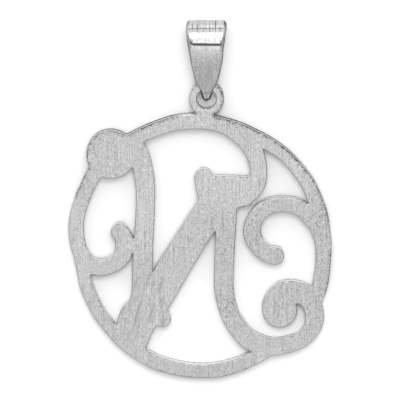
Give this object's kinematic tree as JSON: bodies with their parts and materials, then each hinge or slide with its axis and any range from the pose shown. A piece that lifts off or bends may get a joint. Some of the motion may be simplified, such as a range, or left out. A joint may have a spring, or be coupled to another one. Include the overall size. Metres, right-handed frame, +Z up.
{
  "type": "initial pendant",
  "caption": "Openwork script initial pendant of sterling silver in a round rim, lying face down, with a tapered folded bail.",
  "frame": {"origin": "on the surface that the pendant lies on, midway across it and midway from the foot of its rim to the fold of its bail", "axes": "+X across the pendant, to the right as seen from its back; +Y along it, from the foot of the rim to the bail; +Z up from the surface, out of the pendant's back"},
  "size_m": [0.0264, 0.0362, 0.0033],
  "materials": {
    "brushed_silver": "satin",
    "polished_silver": "polished"
  },
  "bodies": {
    "root": {"initial_plate": "brushed_silver", "bail": "polished_silver"}
  },
  "joints": []
}
